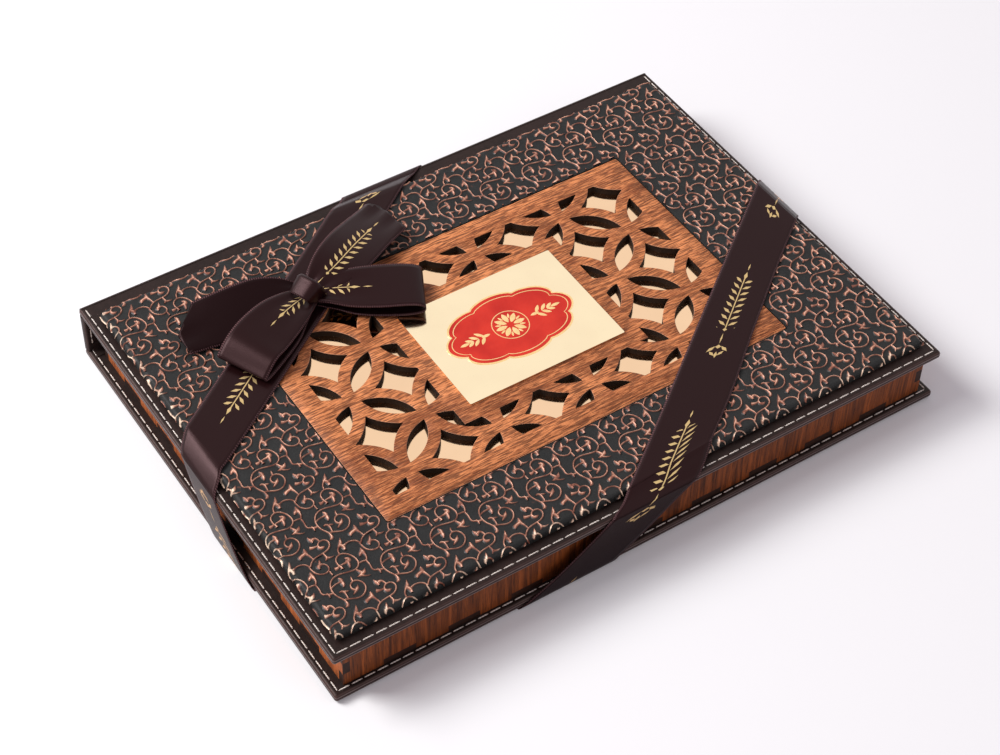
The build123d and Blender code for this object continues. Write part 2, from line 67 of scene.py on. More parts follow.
class Signal:
    """A shader socket that takes part in Python arithmetic; each operation adds its Math node."""

    tree = None

    def __init__(self, socket):
        self.socket = socket

    @classmethod
    def node(cls, kind, values=None, output=0, **settings):
        """Any other node: its settings first, then the values or links of its sockets."""
        made = cls.tree.nodes.new("ShaderNode" + kind)
        for name, value in settings.items():
            setattr(made, name, value)
        for name, value in (values or {}).items():
            if isinstance(value, Signal):
                cls.tree.links.new(value.socket, made.inputs[name])
            else:
                made.inputs[name].default_value = value
        return cls(made.outputs[output])

    def math(self, operation, *others):
        return Signal.node("Math", dict(enumerate((self, *others))), operation=operation)

    __add__ = __radd__ = partialmethod(math, "ADD")
    __mul__ = __rmul__ = partialmethod(math, "MULTIPLY")
    __sub__ = partialmethod(math, "SUBTRACT")
    __truediv__ = partialmethod(math, "DIVIDE")
    __abs__ = partialmethod(math, "ABSOLUTE")
    min = partialmethod(math, "MINIMUM")
    max = partialmethod(math, "MAXIMUM")

    def __rsub__(self, other):
        return Signal.node("Math", {0: other, 1: self}, operation="SUBTRACT")

    def wrap(self, low, high):
        return self.math("WRAP", high, low)

    def between(self, low, high):
        """0 below low, 1 above high, and a smooth step in the middle."""
        return Signal.node("MapRange", {"Value": self, "From Min": low, "From Max": high},
                           interpolation_type="SMOOTHSTEP")

    def blend(self, first, second):
        """The first colour where this is 0, the second where it is 1."""
        pair = [value if isinstance(value, Signal) else (*value, 1) for value in (first, second)]
        return Signal.node("Mix", {"Factor": self, 6: pair[0], 7: pair[1]}, output=2, data_type="RGBA")

    def scaled(self, x, y, z):
        return Signal.node("VectorMath", {0: self, 1: (x, y, z)}, operation="MULTIPLY")

    def axis(self, letter):
        return Signal.node("SeparateXYZ", {0: self}, output="XYZ".index(letter))

    def noise(self, scale, detail=2.0, roughness=0.5):
        return Signal.node("TexNoise", {"Vector": self, "Scale": scale, "Detail": detail,
                                        "Roughness": roughness})


def new_material(name, **constants):
    """A material whose shader has these constant sockets; what varies is linked to it afterwards."""
    made = bpy.data.materials.new(name)
    made.use_nodes = True
    Signal.tree = made.node_tree
    shader = made.node_tree.nodes["Principled BSDF"]
    for socket, value in constants.items():
        value = (*value, 1) if isinstance(value, tuple) else value
        shader.inputs[socket.replace("_", " ")].default_value = value
    return made


def new_object(name, data):
    """An object in the scene that shows this data."""
    made = bpy.data.objects.new(name, data)
    bpy.context.scene.collection.objects.link(made)
    return made


def finished(name, mesh_maker, material, body=None, smooth=35, outward=True):
    """Turns a bmesh into a piece at the origin, faces outwards, with its material, riding on a body."""
    if outward:
        bmesh.ops.recalc_face_normals(mesh_maker, faces=mesh_maker.faces)
    mesh = bpy.data.meshes.new(name)
    mesh_maker.to_mesh(mesh)
    mesh_maker.free()
    mesh.materials.append(material)
    piece = new_object(name, mesh)
    if smooth:
        mesh.shade_smooth()
        mesh.set_sharp_from_angle(angle=radians(smooth))
    if body:
        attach(piece, body)
    return piece


table = bmesh.new()
bmesh.ops.create_grid(table, x_segments=1, y_segments=1, size=4.0)
table_paint = new_material("table_paint", Base_Color=(0.95, 0.95, 0.95), Roughness=0.8,
                           Specular_IOR_Level=0.1)
camera_lift = 0.065     # how much nearer to white the camera sees the table
seen = Signal.node("LightPath", output="Is Camera Ray")
white = Signal.node("Emission", {"Color": (1, 1, 1, 1), "Strength": 1.0})
shader = Signal(table_paint.node_tree.nodes["Principled BSDF"].outputs[0])
lifted = Signal.node("MixShader", {0: seen * camera_lift, 1: shader, 2: white})
Signal.tree.links.new(lifted.socket, table_paint.node_tree.nodes["Material Output"].inputs["Surface"])
finished("table", table, table_paint, smooth=0, outward=False)

world = bpy.data.worlds.new("white_room")
world.use_nodes = True
bpy.context.scene.world = world
Signal.tree = world.node_tree
from_camera, glossy, through = (Signal.node("LightPath", output=f"Is {kind} Ray")
                                for kind in ("Camera", "Glossy", "Transmission"))
room = from_camera.max(glossy).max(through)
background = world.node_tree.nodes["Background"]
sky, sky_strength = room.blend((0.97, 0.87, 0.97), (1, 1, 1)), 0.40 + 0.60 * room
Signal.tree.links.new(sky.socket, background.inputs["Color"])
Signal.tree.links.new(sky_strength.socket, background.inputs["Strength"])

for name, place, size, watts in (
        ("left_softbox", (-1.06, 0.94, 1.26), 0.82, 33.5),
        ("top_softbox", (-0.84, 0.40, 1.62), 0.38, 4.4),
        ("front_softbox", (0.7, -1.1, 0.8), 0.9, 1.1)):
    lamp = bpy.data.lights.new(name, "AREA")
    lamp.shape, lamp.size, lamp.energy = "SQUARE", size, watts
    holder = new_object(name, lamp)
    holder.location = place
    holder.rotation_euler = (-Vector(place)).to_track_quat("-Z", "Y").to_euler()

lens = bpy.data.cameras.new("camera")
lens.sensor_width, lens.lens, lens.clip_start = 36.0, 80.28, 0.05
camera = new_object("camera", lens)
camera_place = Vector((-0.34365, -0.49890, 0.65995))
right = Vector((0.837708, -0.545764, 0.019644))
down = Vector((-0.391514, -0.625245, -0.675119))
forward = Vector((0.380738, 0.557862, -0.737447))
turned = Matrix((right, -down, -forward)).transposed().to_4x4()
camera.matrix_world = Matrix.Translation(camera_place) @ turned
bpy.context.scene.camera = camera
bpy.context.scene.view_settings.view_transform = "Standard"

# ----------------------------------------
# Case leather. Smooth dark brown bonded leather, glued over the base, spine and lid boards and rolled
# round their edges; a painted highlight on the rolled edge and two painted highlight lines along it.

# heights, half width and repeat of the two painted highlight lines on the boards' sides
highlight_line_heights, highlight_line_half, highlight_line_period = (1.0 * mm, 2.4 * mm), 0.45 * mm, 22.5 * mm


def srgb(red, green, blue):
    """A colour as it is read off a swatch, 0 to 255."""
    shares = (red / 255, green / 255, blue / 255)
    return tuple(((c + 0.055) / 1.055) ** 2.4 if c > 0.0393 else c / 12.92 for c in shares)


def times(colour, factor):
    """The same colour made brighter or darker."""
    return tuple(min(c * factor, 1) for c in colour)


def surface(output="Object"):
    """Where a point of the piece lies or, with Normal, which way it faces."""
    return Signal.node("TexCoord", output=output)


def link_to_shader(material, bump=None, depth=0.0, **sockets):
    """Links what varies over the surface: colour, roughness and, through a Bump node, relief in metres."""
    shader = material.node_tree.nodes["Principled BSDF"]
    if bump is not None:
        sockets["Normal"] = Signal.node("Bump", {"Height": bump, "Distance": depth})
    for socket, value in sockets.items():
        Signal.tree.links.new(value.socket, shader.inputs[socket.replace("_", " ")])


def case_leather(name, tint, with_highlight_lines=False):
    """Bonded leather, with two painted highlight lines round the edges of the base and of the lid."""
    leather = new_material(name, Specular_IOR_Level=0.2, Specular_Tint=srgb(255, 236, 230))
    place = surface()
    grain = Signal.node("TexVoronoi", {"Vector": place, "Scale": 1500.0}, feature="SMOOTH_F1")
    creases = place.noise(420, 4, 0.6)
    cloud = place.noise(35, 3)
    facing = surface("Normal")
    flatness = abs(facing.axis("Z")).max(abs(facing.axis("Y"))).max(abs(facing.axis("X")))
    rolled_edge_highlight = (1.0 - flatness).between(0.02, 0.3)
    base = (0.5 * cloud + 0.5 * creases).between(0.4, 0.62).blend(tint, times(tint, 1.7))
    # painted highlight: the rolled edge is painted far paler than the flat leather
    colour = (rolled_edge_highlight * (0.35 + 0.5 * creases)).blend(base, times(tint, 8.0))
    shine = rolled_edge_highlight
    if with_highlight_lines:
        up_edge = (place.axis("Z") - 0.4 * mm).wrap(0.0, highlight_line_period)
        off_highlight_line = abs(up_edge - highlight_line_heights[0]).min(abs(up_edge - highlight_line_heights[1]))
        line_highlight = (highlight_line_half - off_highlight_line).between(0.0, 0.3 * mm)
        line_highlight = line_highlight * (1.0 - abs(facing.axis("Z"))).between(0.35, 0.75) * (0.6 + 0.6 * creases)
        # painted highlight: two pale lines along the side faces of the boards
        colour = (line_highlight * 0.7).blend(colour, srgb(126, 106, 102))
        shine = rolled_edge_highlight.max(line_highlight)
    link_to_shader(leather, bump=grain + 0.8 * creases, depth=0.00005, Base_Color=colour,
                   Roughness=0.42 + 0.14 * cloud - 0.20 * shine)
    return leather


leather_brown = srgb(29, 19, 17)
outer_leather = case_leather("outer_leather", leather_brown)
rim_leather = case_leather("rim_leather", leather_brown, with_highlight_lines=True)
inner_leather = case_leather("inner_leather", srgb(29, 21, 19))


def dress(node, material):
    """Gives a CAD node its finish."""
    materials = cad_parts[node].data.materials
    materials.clear()
    materials.append(material)


for board in ("base", "spine", "lid"):
    dress(f"{board}_outer_leather", outer_leather if board == "spine" else rim_leather)
    dress(f"{board}_inner_leather", inner_leather)

grey_board = new_material("grey_board")
place = surface()
fibres = place.noise(900, 4)
link_to_shader(grey_board, bump=fibres, depth=0.00005, Roughness=0.85 + 0.1 * fibres,
               Base_Color=fibres.blend(srgb(150, 144, 134), srgb(176, 170, 160)))
for board in ("base_board", "spine_board", "lid_board", "panel_board"):
    dress(board, grey_board)

# ----------------------------------------
# Leather folds. Between the boards only the skins go on, so the case bends there: one fold outside and
# one inside at each long edge of the spine.

case_low, case_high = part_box("lid_outer_leather")
base_low, base_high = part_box("base_outer_leather")
spine_low, spine_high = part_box("spine_outer_leather")
half_board = (case_high.z - case_low.z) / 2
hinge = {"lid": Vector((0, case_high.y - half_board, case_low.z + half_board)),
         "base": Vector((0, base_high.y - half_board, base_low.z + half_board))}
fold_lengths = 24


def of_kind(kind, geom):
    """The verts or the edges that an operator returned among other elements."""
    return [element for element in geom if isinstance(element, kind)]


def leather_fold(name, board, outside):
    """A skin 0.4 mm thick that follows the board's round edge and ends on the spine's face."""
    axis, up = hinge[board], 1 if board == "lid" else -1
    skin = bmesh.new()
    if outside:
        end, reach = case_low.x + 0.6 * mm, half_board + 0.15 * mm
        turns = [radians(8 * k) for k in range(12)]
        section = [(axis.y + reach * sin(a), axis.z + up * reach * cos(a)) for a in turns]
        section += [(spine_high.y + 0.15 * mm, axis.z - up * d * mm) for d in (0.9, 1.8, 2.6, 3.6, 5.2)]
    else:
        end, face = case_low.x + 2 * mm, spine_low.y - 0.1 * mm
        section = [(face - d * mm, axis.z - up * (half_board + 0.12 * mm)) for d in (4.2, 2.6, 1.4)]
        section += [(face - 0.35 * mm, axis.z - up * (half_board + 0.55 * mm))]
        section += [(face, axis.z - up * (half_board + d * mm)) for d in (1.6, 2.8, 4.4)]
    row = [skin.verts.new((end, *point)) for point in section]
    edges = [skin.edges.new(pair) for pair in zip(row, row[1:])]
    length = (case_high.x - abs(case_low.x)) + 2 * abs(row[0].co.x)
    for _ in range(fold_lengths):
        grown = bmesh.ops.extrude_edge_only(skin, edges=edges)["geom"]
        bmesh.ops.translate(skin, verts=of_kind(BMVert, grown), vec=(length / fold_lengths, 0, 0))
        edges = of_kind(BMEdge, grown)
    bmesh.ops.recalc_face_normals(skin, faces=skin.faces)
    bmesh.ops.solidify(skin, geom=skin.faces[:], thickness=0.2 * mm)
    piece = finished(name, skin, outer_leather if outside else inner_leather)
    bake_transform(piece)


for board in ("lid", "base"):
    leather_fold(f"{board}_fold_outside", board, True)
    leather_fold(f"{board}_fold_inside", board, False)

# ----------------------------------------
# Stitching. One row of thick cream thread along the three free edges of the lid and of the base, 2 mm
# in, and a short row at each end of the spine: stitches a little over 5 mm, sunk at both ends.

thread = new_material("cream_thread", Sheen_Weight=0.3)
place = surface()
twist = ((place.axis("X") + place.axis("Y")) * 5200.0).math("SINE")
strand = (0.5 + 0.5 * twist).between(0.0, 1.0)
link_to_shader(thread, bump=twist, depth=0.00004, Roughness=0.6 + 0.1 * place.noise(900),
               Base_Color=strand.blend(srgb(196, 182, 168), srgb(240, 232, 222)))
stitch_pitch, stitch_length, thread_radius = 5.3 * mm, 4.5 * mm, 0.26 * mm
stitch_inset, end_inset = 2.1 * mm, 2.4 * mm


def once(elements):
    """Each element once, in the order in which it first comes."""
    return list(dict.fromkeys(elements))


def stitch_row(name, start, end, up, body):
    """Stitches from start to end on a face whose outward direction is up."""
    start, end, up = Vector(start), Vector(end), Vector(up)
    along = (end - start).normalized()
    turn = Matrix((along.cross(up), up, along)).transposed().to_4x4()
    count = round((end - start).length / stitch_pitch)
    step = (end - start) / count
    row = bmesh.new()
    for k in range(count):
        one = bmesh.ops.create_cone(row, cap_ends=True, segments=6, radius1=thread_radius,
                                    radius2=thread_radius, depth=stitch_length * 0.7)["verts"]
        for cap in once(f for v in one for f in v.link_faces if len(f.verts) == 6):
            centre = cap.calc_center_median()
            rim = of_kind(BMVert, bmesh.ops.extrude_face_region(row, geom=[cap])["geom"])
            outward = 1 if centre.z > 0 else -1
            bmesh.ops.scale(row, verts=rim, vec=(0.5, 0.5, 1), space=Matrix.Translation(-centre))
            bmesh.ops.translate(row, verts=rim, vec=(0, 0, outward * stitch_length * 0.15))
            bmesh.ops.delete(row, geom=[cap], context="FACES_ONLY")
            one = once([*one, *rim])
        for v in one:
            v.co.y -= (abs(v.co.z) / stitch_length * 2) ** 2 * thread_radius * 0.8
        middle = start + step * (k + 0.5) + up * thread_radius * 0.45
        bmesh.ops.transform(row, verts=one, matrix=Matrix.Translation(middle) @ turn)
    finished(name, row, thread, body)


for board, low, high in (("lid", case_low, case_high), ("base", base_low, base_high)):
    front, back = low.y + stitch_inset, high.y - end_inset
    corners = ((low.x + stitch_inset, back), (low.x + stitch_inset, front),
               (high.x - stitch_inset, front), (high.x - stitch_inset, back))
    for side, a, b in zip(("left", "front", "right"), corners, corners[1:]):
        stitch_row(f"{board}_stitches_{side}", (*a, high.z), (*b, high.z), (0, 0, 1), board)
for side, x in (("left", spine_low.x + end_inset), ("right", spine_high.x - end_inset)):
    stitch_row(f"spine_stitches_{side}", (x, spine_low.y, spine_low.z + 1.5 * mm),
               (x, spine_low.y, spine_high.z - 1.5 * mm), (0, -1, 0), "spine")

# ----------------------------------------
# Tray. Four walls and a floor of 3 mm veneered board, cut by laser so that every finger and tab shows
# a burnt brown end; the veneer's grain stands upright on the walls.


def veneer(name, light, dark, along, charred):
    """Wood with long fibres along one axis; faces that look along a charred axis are burnt cuts."""
    wood = new_material(name, Specular_IOR_Level=0.2)
    place = surface()
    stretch = {"X": (22, 420, 420), "Y": (420, 22, 420), "Z": (1000, 1000, 42)}[along]
    fibre = place.scaled(*stretch).noise(1, 5, 0.65)
    fine = place.scaled(*(value * 3 for value in stretch)).noise(1, 2, 0.6)
    streak = place.scaled(*(value * 0.28 for value in stretch)).noise(1, 2).between(0.35, 0.68)
    pores = fine.between(0.54, 0.64)
    tone = (0.15 + 0.75 * fibre.between(0.3, 0.7) + 0.4 * (streak - 0.5)).max(0.0).min(1.0)
    colour = (pores * 0.6).blend(tone.blend(dark, light), times(dark, 0.45))
    facing = surface("Normal")
    burnt = 0.0
    for axis in charred:
        burnt = abs(facing.axis(axis)).between(0.5, 0.9).max(burnt)
    soot = place.noise(260, 4).blend(srgb(22, 12, 9), srgb(54, 29, 19))
    link_to_shader(wood, bump=fibre - 0.6 * pores, depth=0.00006, Base_Color=burnt.blend(colour, soot),
                   Roughness=0.42 + 0.2 * fibre)
    return wood


tray_light, tray_dark = srgb(150, 78, 34), srgb(58, 26, 11)
long_wall_wood = veneer("tray_wood_long", tray_light, tray_dark, "Z", "X")
# painted light: the end walls take the same veneer in lighter colours, for the light on the left end wall
short_wall_wood_painted_lighter = veneer("tray_wood_short_painted_lighter", srgb(196, 110, 58), srgb(120, 58, 28), "Z", "Y")
floor_wood = veneer("tray_wood_floor", tray_light, tray_dark, "X", "XY")
for part, wood in (("front_wall", long_wall_wood), ("back_wall", long_wall_wood),
                   ("left_wall", short_wall_wood_painted_lighter), ("right_wall", short_wall_wood_painted_lighter), ("floor", floor_wood)):
    dress(f"tray_{part}", wood)

# ----------------------------------------
# Inside the tray. A sheet of cream paper lies on the floor, under the sweets, and three strips of
# dark card, slotted into each other, stand on it and part the tray into six.

liner = new_material("liner_paper", Specular_IOR_Level=0.2)
place = surface()
pulp = place.noise(700, 5, 0.7)
link_to_shader(liner, bump=pulp, depth=0.00004, Roughness=0.8 + 0.1 * pulp,
               Base_Color=pulp.blend(srgb(226, 210, 178), srgb(242, 230, 204)))
dress("liner_sheet", liner)

card = new_material("divider_card", Specular_IOR_Level=0.3)
place = surface()
pulp = place.scaled(120, 120, 900).noise(1, 4)
link_to_shader(card, bump=pulp, depth=0.00005, Roughness=0.65 + 0.2 * pulp,
               Base_Color=pulp.blend(srgb(70, 46, 34), srgb(98, 68, 50)))
for strip in ("divider_long", "divider_cross_1", "divider_cross_2"):
    dress(strip, card)

# ----------------------------------------
# Embossed panel. Charcoal leather on thin padding, wrapped over a board frame and pressed with running
# scrollwork whose raised lines are wiped with copper, with a painted highlight on their crests and
# painted shade on their flanks; paler along the left and front edges.

panel_low, panel_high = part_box("panel_leather")
ground = new_material("charcoal_leather", Specular_IOR_Level=0.16)
place = surface()
pebble = Signal.node("TexVoronoi", {"Vector": place, "Scale": 1900.0}, feature="SMOOTH_F1")
cloud = place.noise(120, 3)
smudge = place.noise(330, 2).between(0.68, 0.78) * cloud.between(0.45, 0.7)
colour = (0.5 * cloud + 0.5 * pebble).blend(srgb(20, 20, 20), srgb(54, 54, 53))
link_to_shader(ground, bump=pebble + place.noise(500, 4), depth=0.00006,
               Base_Color=(smudge * 0.6).blend(colour, srgb(140, 92, 76)), Roughness=0.48 + 0.15 * cloud)
dress("panel_leather", ground)

copper = new_material("copper_painted_light_and_shade", Specular_IOR_Level=0.45, Metallic=0.2)
place = surface()
crest = Signal.node("Attribute", {}, output="Fac", attribute_name="crest")
wear_and_sheen_noise = place.noise(260, 4, 0.6)
pale_edge_reach = 2.2 * mm
# the copper turns paler towards the left and front edges of the panel
edge_x = (panel_low.x + pale_edge_reach - place.axis("X")).between(0.0, 1.6 * mm)
edge_y = (panel_low.y + pale_edge_reach - place.axis("Y")).between(0.0, 1.6 * mm)
top = wear_and_sheen_noise.between(0.3, 0.7).blend(srgb(128, 74, 57), srgb(188, 119, 92))
# painted highlight: the crests of the raised lines turn pale peach
top = (crest.between(0.75, 1.0) * wear_and_sheen_noise.between(0.35, 0.6)).blend(top, srgb(246, 204, 176))
top = (edge_x.max(edge_y * 0.7) * wear_and_sheen_noise.between(0.4, 0.55) * 0.85).blend(top, srgb(252, 228, 200))
link_to_shader(copper, bump=wear_and_sheen_noise, depth=0.00005, Roughness=0.36 + 0.2 * wear_and_sheen_noise,
               # painted shade: the flanks of the raised lines are nearly black
               Base_Color=crest.between(0.28, 0.78).blend(srgb(22, 14, 12), top))

# The scroll's repeat is drawn on a grid 73.5 wide and 100 high, x to the right and y down. The last
# figure of a stroke's point is its half width in scroll lines, one when left out.
scroll_grid, scroll_line = 0.2823 * mm, 0.53 * mm
scroll_wide, scroll_high, drawn_high = 73.5, 102.2, 100
strokes_left, strokes_right, strokes_top, strokes_bottom = 38, 118, 3, 112
scroll_columns, scroll_rows = range(-9, 10), range(-5, 6)
scroll_strokes = (
    ((72.5, 29), (70.3, 20), (73, 12), (81, 8), (88.5, 11), (94, 19), (96, 28), (94, 35), (86.5, 40),
     (76, 38), (65, 35), (56, 35.5), (49, 40), (44.5, 48), (43.5, 57), (46, 65), (50.5, 72),
     (51.2, 79, 1.4), (49, 82.5, 1.7), (46, 83.5, 0.5)),
    ((50.5, 72), (58, 74.5), (64, 78), (71, 79), (78, 76), (83, 70), (84.5, 64), (82, 57), (77, 53.3),
     (72, 53.3), (67.5, 57), (66.5, 62), (69, 66.5, 1.3), (73, 66, 2.0), (76, 61, 0.5)),
    ((72, 66.5, 1.5), (67.5, 69.5, 1.2), (64, 71.5, 0.5)),
    ((44.5, 49), (50, 46.6), (56, 46), (60, 46.3, 1.3)),
    ((60.5, 39.5, 0.5), (62.8, 43, 1.9), (61.3, 47, 1.5), (62.3, 51.5, 1.7), (59.5, 55.5, 0.5)),
    ((55.5, 73), (56.6, 66), (56.3, 61, 1.3), (53, 58.7, 1.3), (50, 60, 0.8)),
    ((56.5, 61.5, 1.3), (59, 62, 1.2), (62.5, 63.5, 0.5)),
    ((74, 53.5), (73.6, 49.5, 1.3), (75.2, 46, 0.4)),
    ((63.8, 26, 1.8), (66, 26, 1.9), (70, 25.3), (76, 24), (82, 24.2, 1.4), (86.5, 22.5, 2.3),
     (87, 18.5, 1.5), (83, 17, 0.4)),
    ((84, 24.5, 1.3), (84.3, 29.5, 1.7), (81.5, 34, 0.4)),
    ((72.5, 26), (72.8, 30.3, 1.5)),
    ((86.5, 40, 1.2), (89, 44.5, 1.2), (90.3, 48.5, 2.0), (94, 47.5, 1.8), (97, 43.5, 0.6)),
    ((90.3, 48.5, 1.8), (87, 51.5, 1.5), (82.3, 50.5, 0.5)),
    ((88, 51, 1.2), (92.5, 55.8), (98, 56.2, 0.5)),
    ((95.5, 33), (101, 32.5), (105, 34.7, 1.2), (108, 30), (109.2, 24, 1.2), (107.3, 19, 2.1),
     (108.5, 13.5, 0.4)),
    ((107.3, 19.5, 1.8), (103.5, 21.5, 1.8), (101.3, 25, 0.6)),
    ((105, 34.7), (105.7, 42), (104.2, 48), (105.2, 52.2), (109, 53.3), (112, 56.2, 1.4), (117, 56.4)),
    ((110.3, 52.2, 0.6), (112, 56.2, 1.5), (110.5, 60.7, 0.7)),
    ((38.5, 6), (38.5, 12), (40.3, 19), (45.3, 23.7), (51, 25.5), (56.4, 24.2), (59.6, 20), (59.2, 14.7),
     (55.8, 10.8), (51.5, 9.8, 1.5), (48, 12, 2.0), (48.7, 15.7, 0.9)),
    ((51.5, 10.3, 1.6), (53.5, 7, 1.5), (54.7, 3, 0.4)),
    ((57, 25), (57.4, 32, 1.0)),
    ((76.5, 107), (80, 102.5), (86, 98.5), (93, 97), (101, 96.5), (108, 95.3), (113.5, 91.7), (116.6, 86),
     (115.2, 80.3), (110.3, 77.6), (105, 78.6), (101.2, 82.5), (101.3, 86.6, 1.5), (104.3, 88.8, 2.0),
     (108.5, 87.8, 0.6)),
    ((101, 83), (95.3, 83.3, 1.3), (90.6, 80.7, 2.0)),
    ((107, 77.8), (106.2, 72.5, 1.2), (102.7, 69.8, 1.4), (98.6, 71.5, 2.0), (97.3, 69, 1.6),
     (96.3, 65, 0.4)),
    ((98.6, 70.5, 1.9), (98.6, 75.3, 0.9)),
    ((86, 98.5), (85.2, 93.5), (83.3, 88, 1.3), (81.8, 84.5, 2.0), (83.5, 78.5, 0.9)),
    ((82, 85.3, 1.8), (76.6, 86, 1.4), (72, 88, 2.0), (72, 91.3, 0.6)),
    ((101, 96.5), (101.5, 101), (102.5, 105.3, 1.4), (98, 108.6, 0.7)),
    ((102.5, 105.3, 1.4), (106.5, 108), (111, 106.8, 0.5)),
    ((76.5, 107), (74.6, 102), (70.5, 98.8), (65, 97.3), (59.5, 97.9), (56.2, 99.6, 1.3)),
    ((44.5, 108), (45, 103), (49, 98.3), (53, 95.6, 1.7), (55.7, 92, 1.5), (57.7, 86.5, 0.4)),
    ((52.5, 96.3, 1.6), (56.2, 99.6, 1.9), (54.3, 106, 1.2)),
)
drawn = bpy.data.curves.new("scroll_repeat", "CURVE")
drawn.dimensions, drawn.resolution_u = "3D", 2
drawn.bevel_depth, drawn.bevel_resolution, drawn.use_fill_caps = scroll_line, 0, True
for stroke in scroll_strokes:
    spline = drawn.splines.new("NURBS")
    spline.points.add(len(stroke) - 1)
    for point, (x, y, *half_width) in zip(spline.points, stroke):
        point.co = (x * scroll_grid, -y * scroll_grid * scroll_high / drawn_high, 0, 1)
        point.radius = max(half_width[0], 0.75) ** 1.5 if half_width else 1.0
    spline.order_u, spline.use_endpoint_u = 3, True
scroll_curve = bpy.data.objects.new("scroll_repeat", drawn)
scroll_mesh = bpy.data.meshes.new_from_object(scroll_curve)
bpy.data.objects.remove(scroll_curve)

relief, panel_round = 0.58 * mm, 1.6 * mm
panel_middle = (panel_low + panel_high) / 2
window_low, window_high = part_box("fretwork_panel")


def cut_off(mesh, place, direction):
    """Cuts away what lies past a plane, and closes the cut."""
    everything = mesh.verts[:] + mesh.edges[:] + mesh.faces[:]
    cut = bmesh.ops.bisect_plane(mesh, geom=everything, plane_co=place, plane_no=direction, clear_outer=True)
    bmesh.ops.holes_fill(mesh, edges=of_kind(BMEdge, cut["geom_cut"]), sides=0)


def over_edge(value, low, high):
    """Wraps a flat distance over a rounded edge: how far out it ends, how far it drops and its tilt."""
    limit = high - panel_round if value > 0 else low + panel_round
    past = abs(value) - abs(limit)
    if past <= 0:
        return value, 0.0, 0.0
    sign, angle = (1 if value > 0 else -1), past / panel_round
    if angle < pi / 2:
        return limit + sign * panel_round * sin(angle), panel_round * (1 - cos(angle)), sign * angle
    return limit + sign * panel_round, panel_round + (past - panel_round * pi / 2), sign * pi / 2


def scroll_field(name, x0, x1, y0, y1):
    """The repeats that fill one strip of the panel, cut to it and pressed over the rounded edge."""
    field = bmesh.new()
    for row in scroll_rows:
        for column in scroll_columns:
            across = (column + 0.5 * (row % 2)) * scroll_wide
            shift = Vector((across * scroll_grid, row * scroll_high * scroll_grid, 0)) + scroll_shift
            low = shift + Vector((strokes_left, -strokes_bottom, 0)) * scroll_grid
            high = shift + Vector((strokes_right, -strokes_top, 0)) * scroll_grid
            if low.x > x1 or high.x < x0 or low.y > y1 or high.y < y0:
                continue
            known = len(field.verts)
            field.from_mesh(scroll_mesh)
            field.verts.ensure_lookup_table()
            bmesh.ops.translate(field, verts=field.verts[known:], vec=shift)
    for place, direction in (((x0, 0, 0), (-1, 0, 0)), ((x1, 0, 0), (1, 0, 0)),
                             ((0, y0, 0), (0, -1, 0)), ((0, y1, 0), (0, 1, 0))):
        cut_off(field, place, direction)
    # crest runs from 0 on the flanks to 1 on top; the copper paints its highlight and its shade from it
    crest_layer = field.verts.layers.float.new("crest")
    for v in field.verts:
        share = abs(v.co.z) / scroll_line
        v[crest_layer] = min(share, 1.0) if v.co.z > 0 else 0.0
        side = 1 if v.co.z > 1e-6 else 0 if v.co.z > -1e-6 else -0.3
        height = relief * side * min(max(share, 0.45), 1.1) ** 0.5
        x, drop_x, tilt_x = over_edge(v.co.x, panel_low.x, panel_high.x)
        y, drop_y, tilt_y = over_edge(v.co.y, panel_low.y - panel_middle.y, panel_high.y - panel_middle.y)
        tilt = max(abs(tilt_x), abs(tilt_y))
        v.co = (x + height * sin(tilt_x), panel_middle.y + y + height * sin(tilt_y),
                panel_high.z - max(drop_x, drop_y) + height * cos(tilt))
    finished(name, field, copper, "lid", smooth=60)


scroll_shift = Vector((-12.03 * mm, -1.9 * mm, 0))
panel_half = (panel_high.y - panel_low.y) / 2
window_half = (window_high.y - window_low.y) / 2
past_edge, past_window = 1.5 * mm, 0.9 * mm
flat_x, flat_y = panel_high.x + past_edge, panel_half + past_edge
hole_x, hole_y = window_high.x + past_window, window_half + past_window
scroll_field("scrolls_front", -flat_x, flat_x, -flat_y, -hole_y)
scroll_field("scrolls_back", -flat_x, flat_x, hole_y, flat_y)
scroll_field("scrolls_left", -flat_x, -hole_x, -hole_y, hole_y)
scroll_field("scrolls_right", hole_x, flat_x, -hole_y, hole_y)

# ----------------------------------------
# Gold sheet. Half a millimetre of gold mirror, laid in the panel's window under the fretwork. The
# burnt walls of the openings show in it upside down.


def gold_mirror(name, tint, roughness):
    """Polished gold-coloured sheet, faintly hazed and specked."""
    gold = new_material(name, Metallic=1.0)
    place = surface()
    haze = place.noise(60, 3)
    specks = place.noise(2200, 1).between(0.74, 0.80)
    link_to_shader(gold, bump=place.noise(45, 2), depth=0.00002,
                   Roughness=roughness + 0.06 * haze + 0.15 * specks,
                   Base_Color=haze.between(0.3, 0.7).blend(tint, times(tint, 1.04)))
    return gold


dress("mirror_sheet", gold_mirror("gold_sheet", srgb(244, 206, 168), 0.07))

# ----------------------------------------
# Fretwork. Laser-cut walnut-toned veneer board, grain along the box; the beam leaves the hole walls
# burnt black and takes the sharp corner off every edge, which carries a thin pale painted highlight.

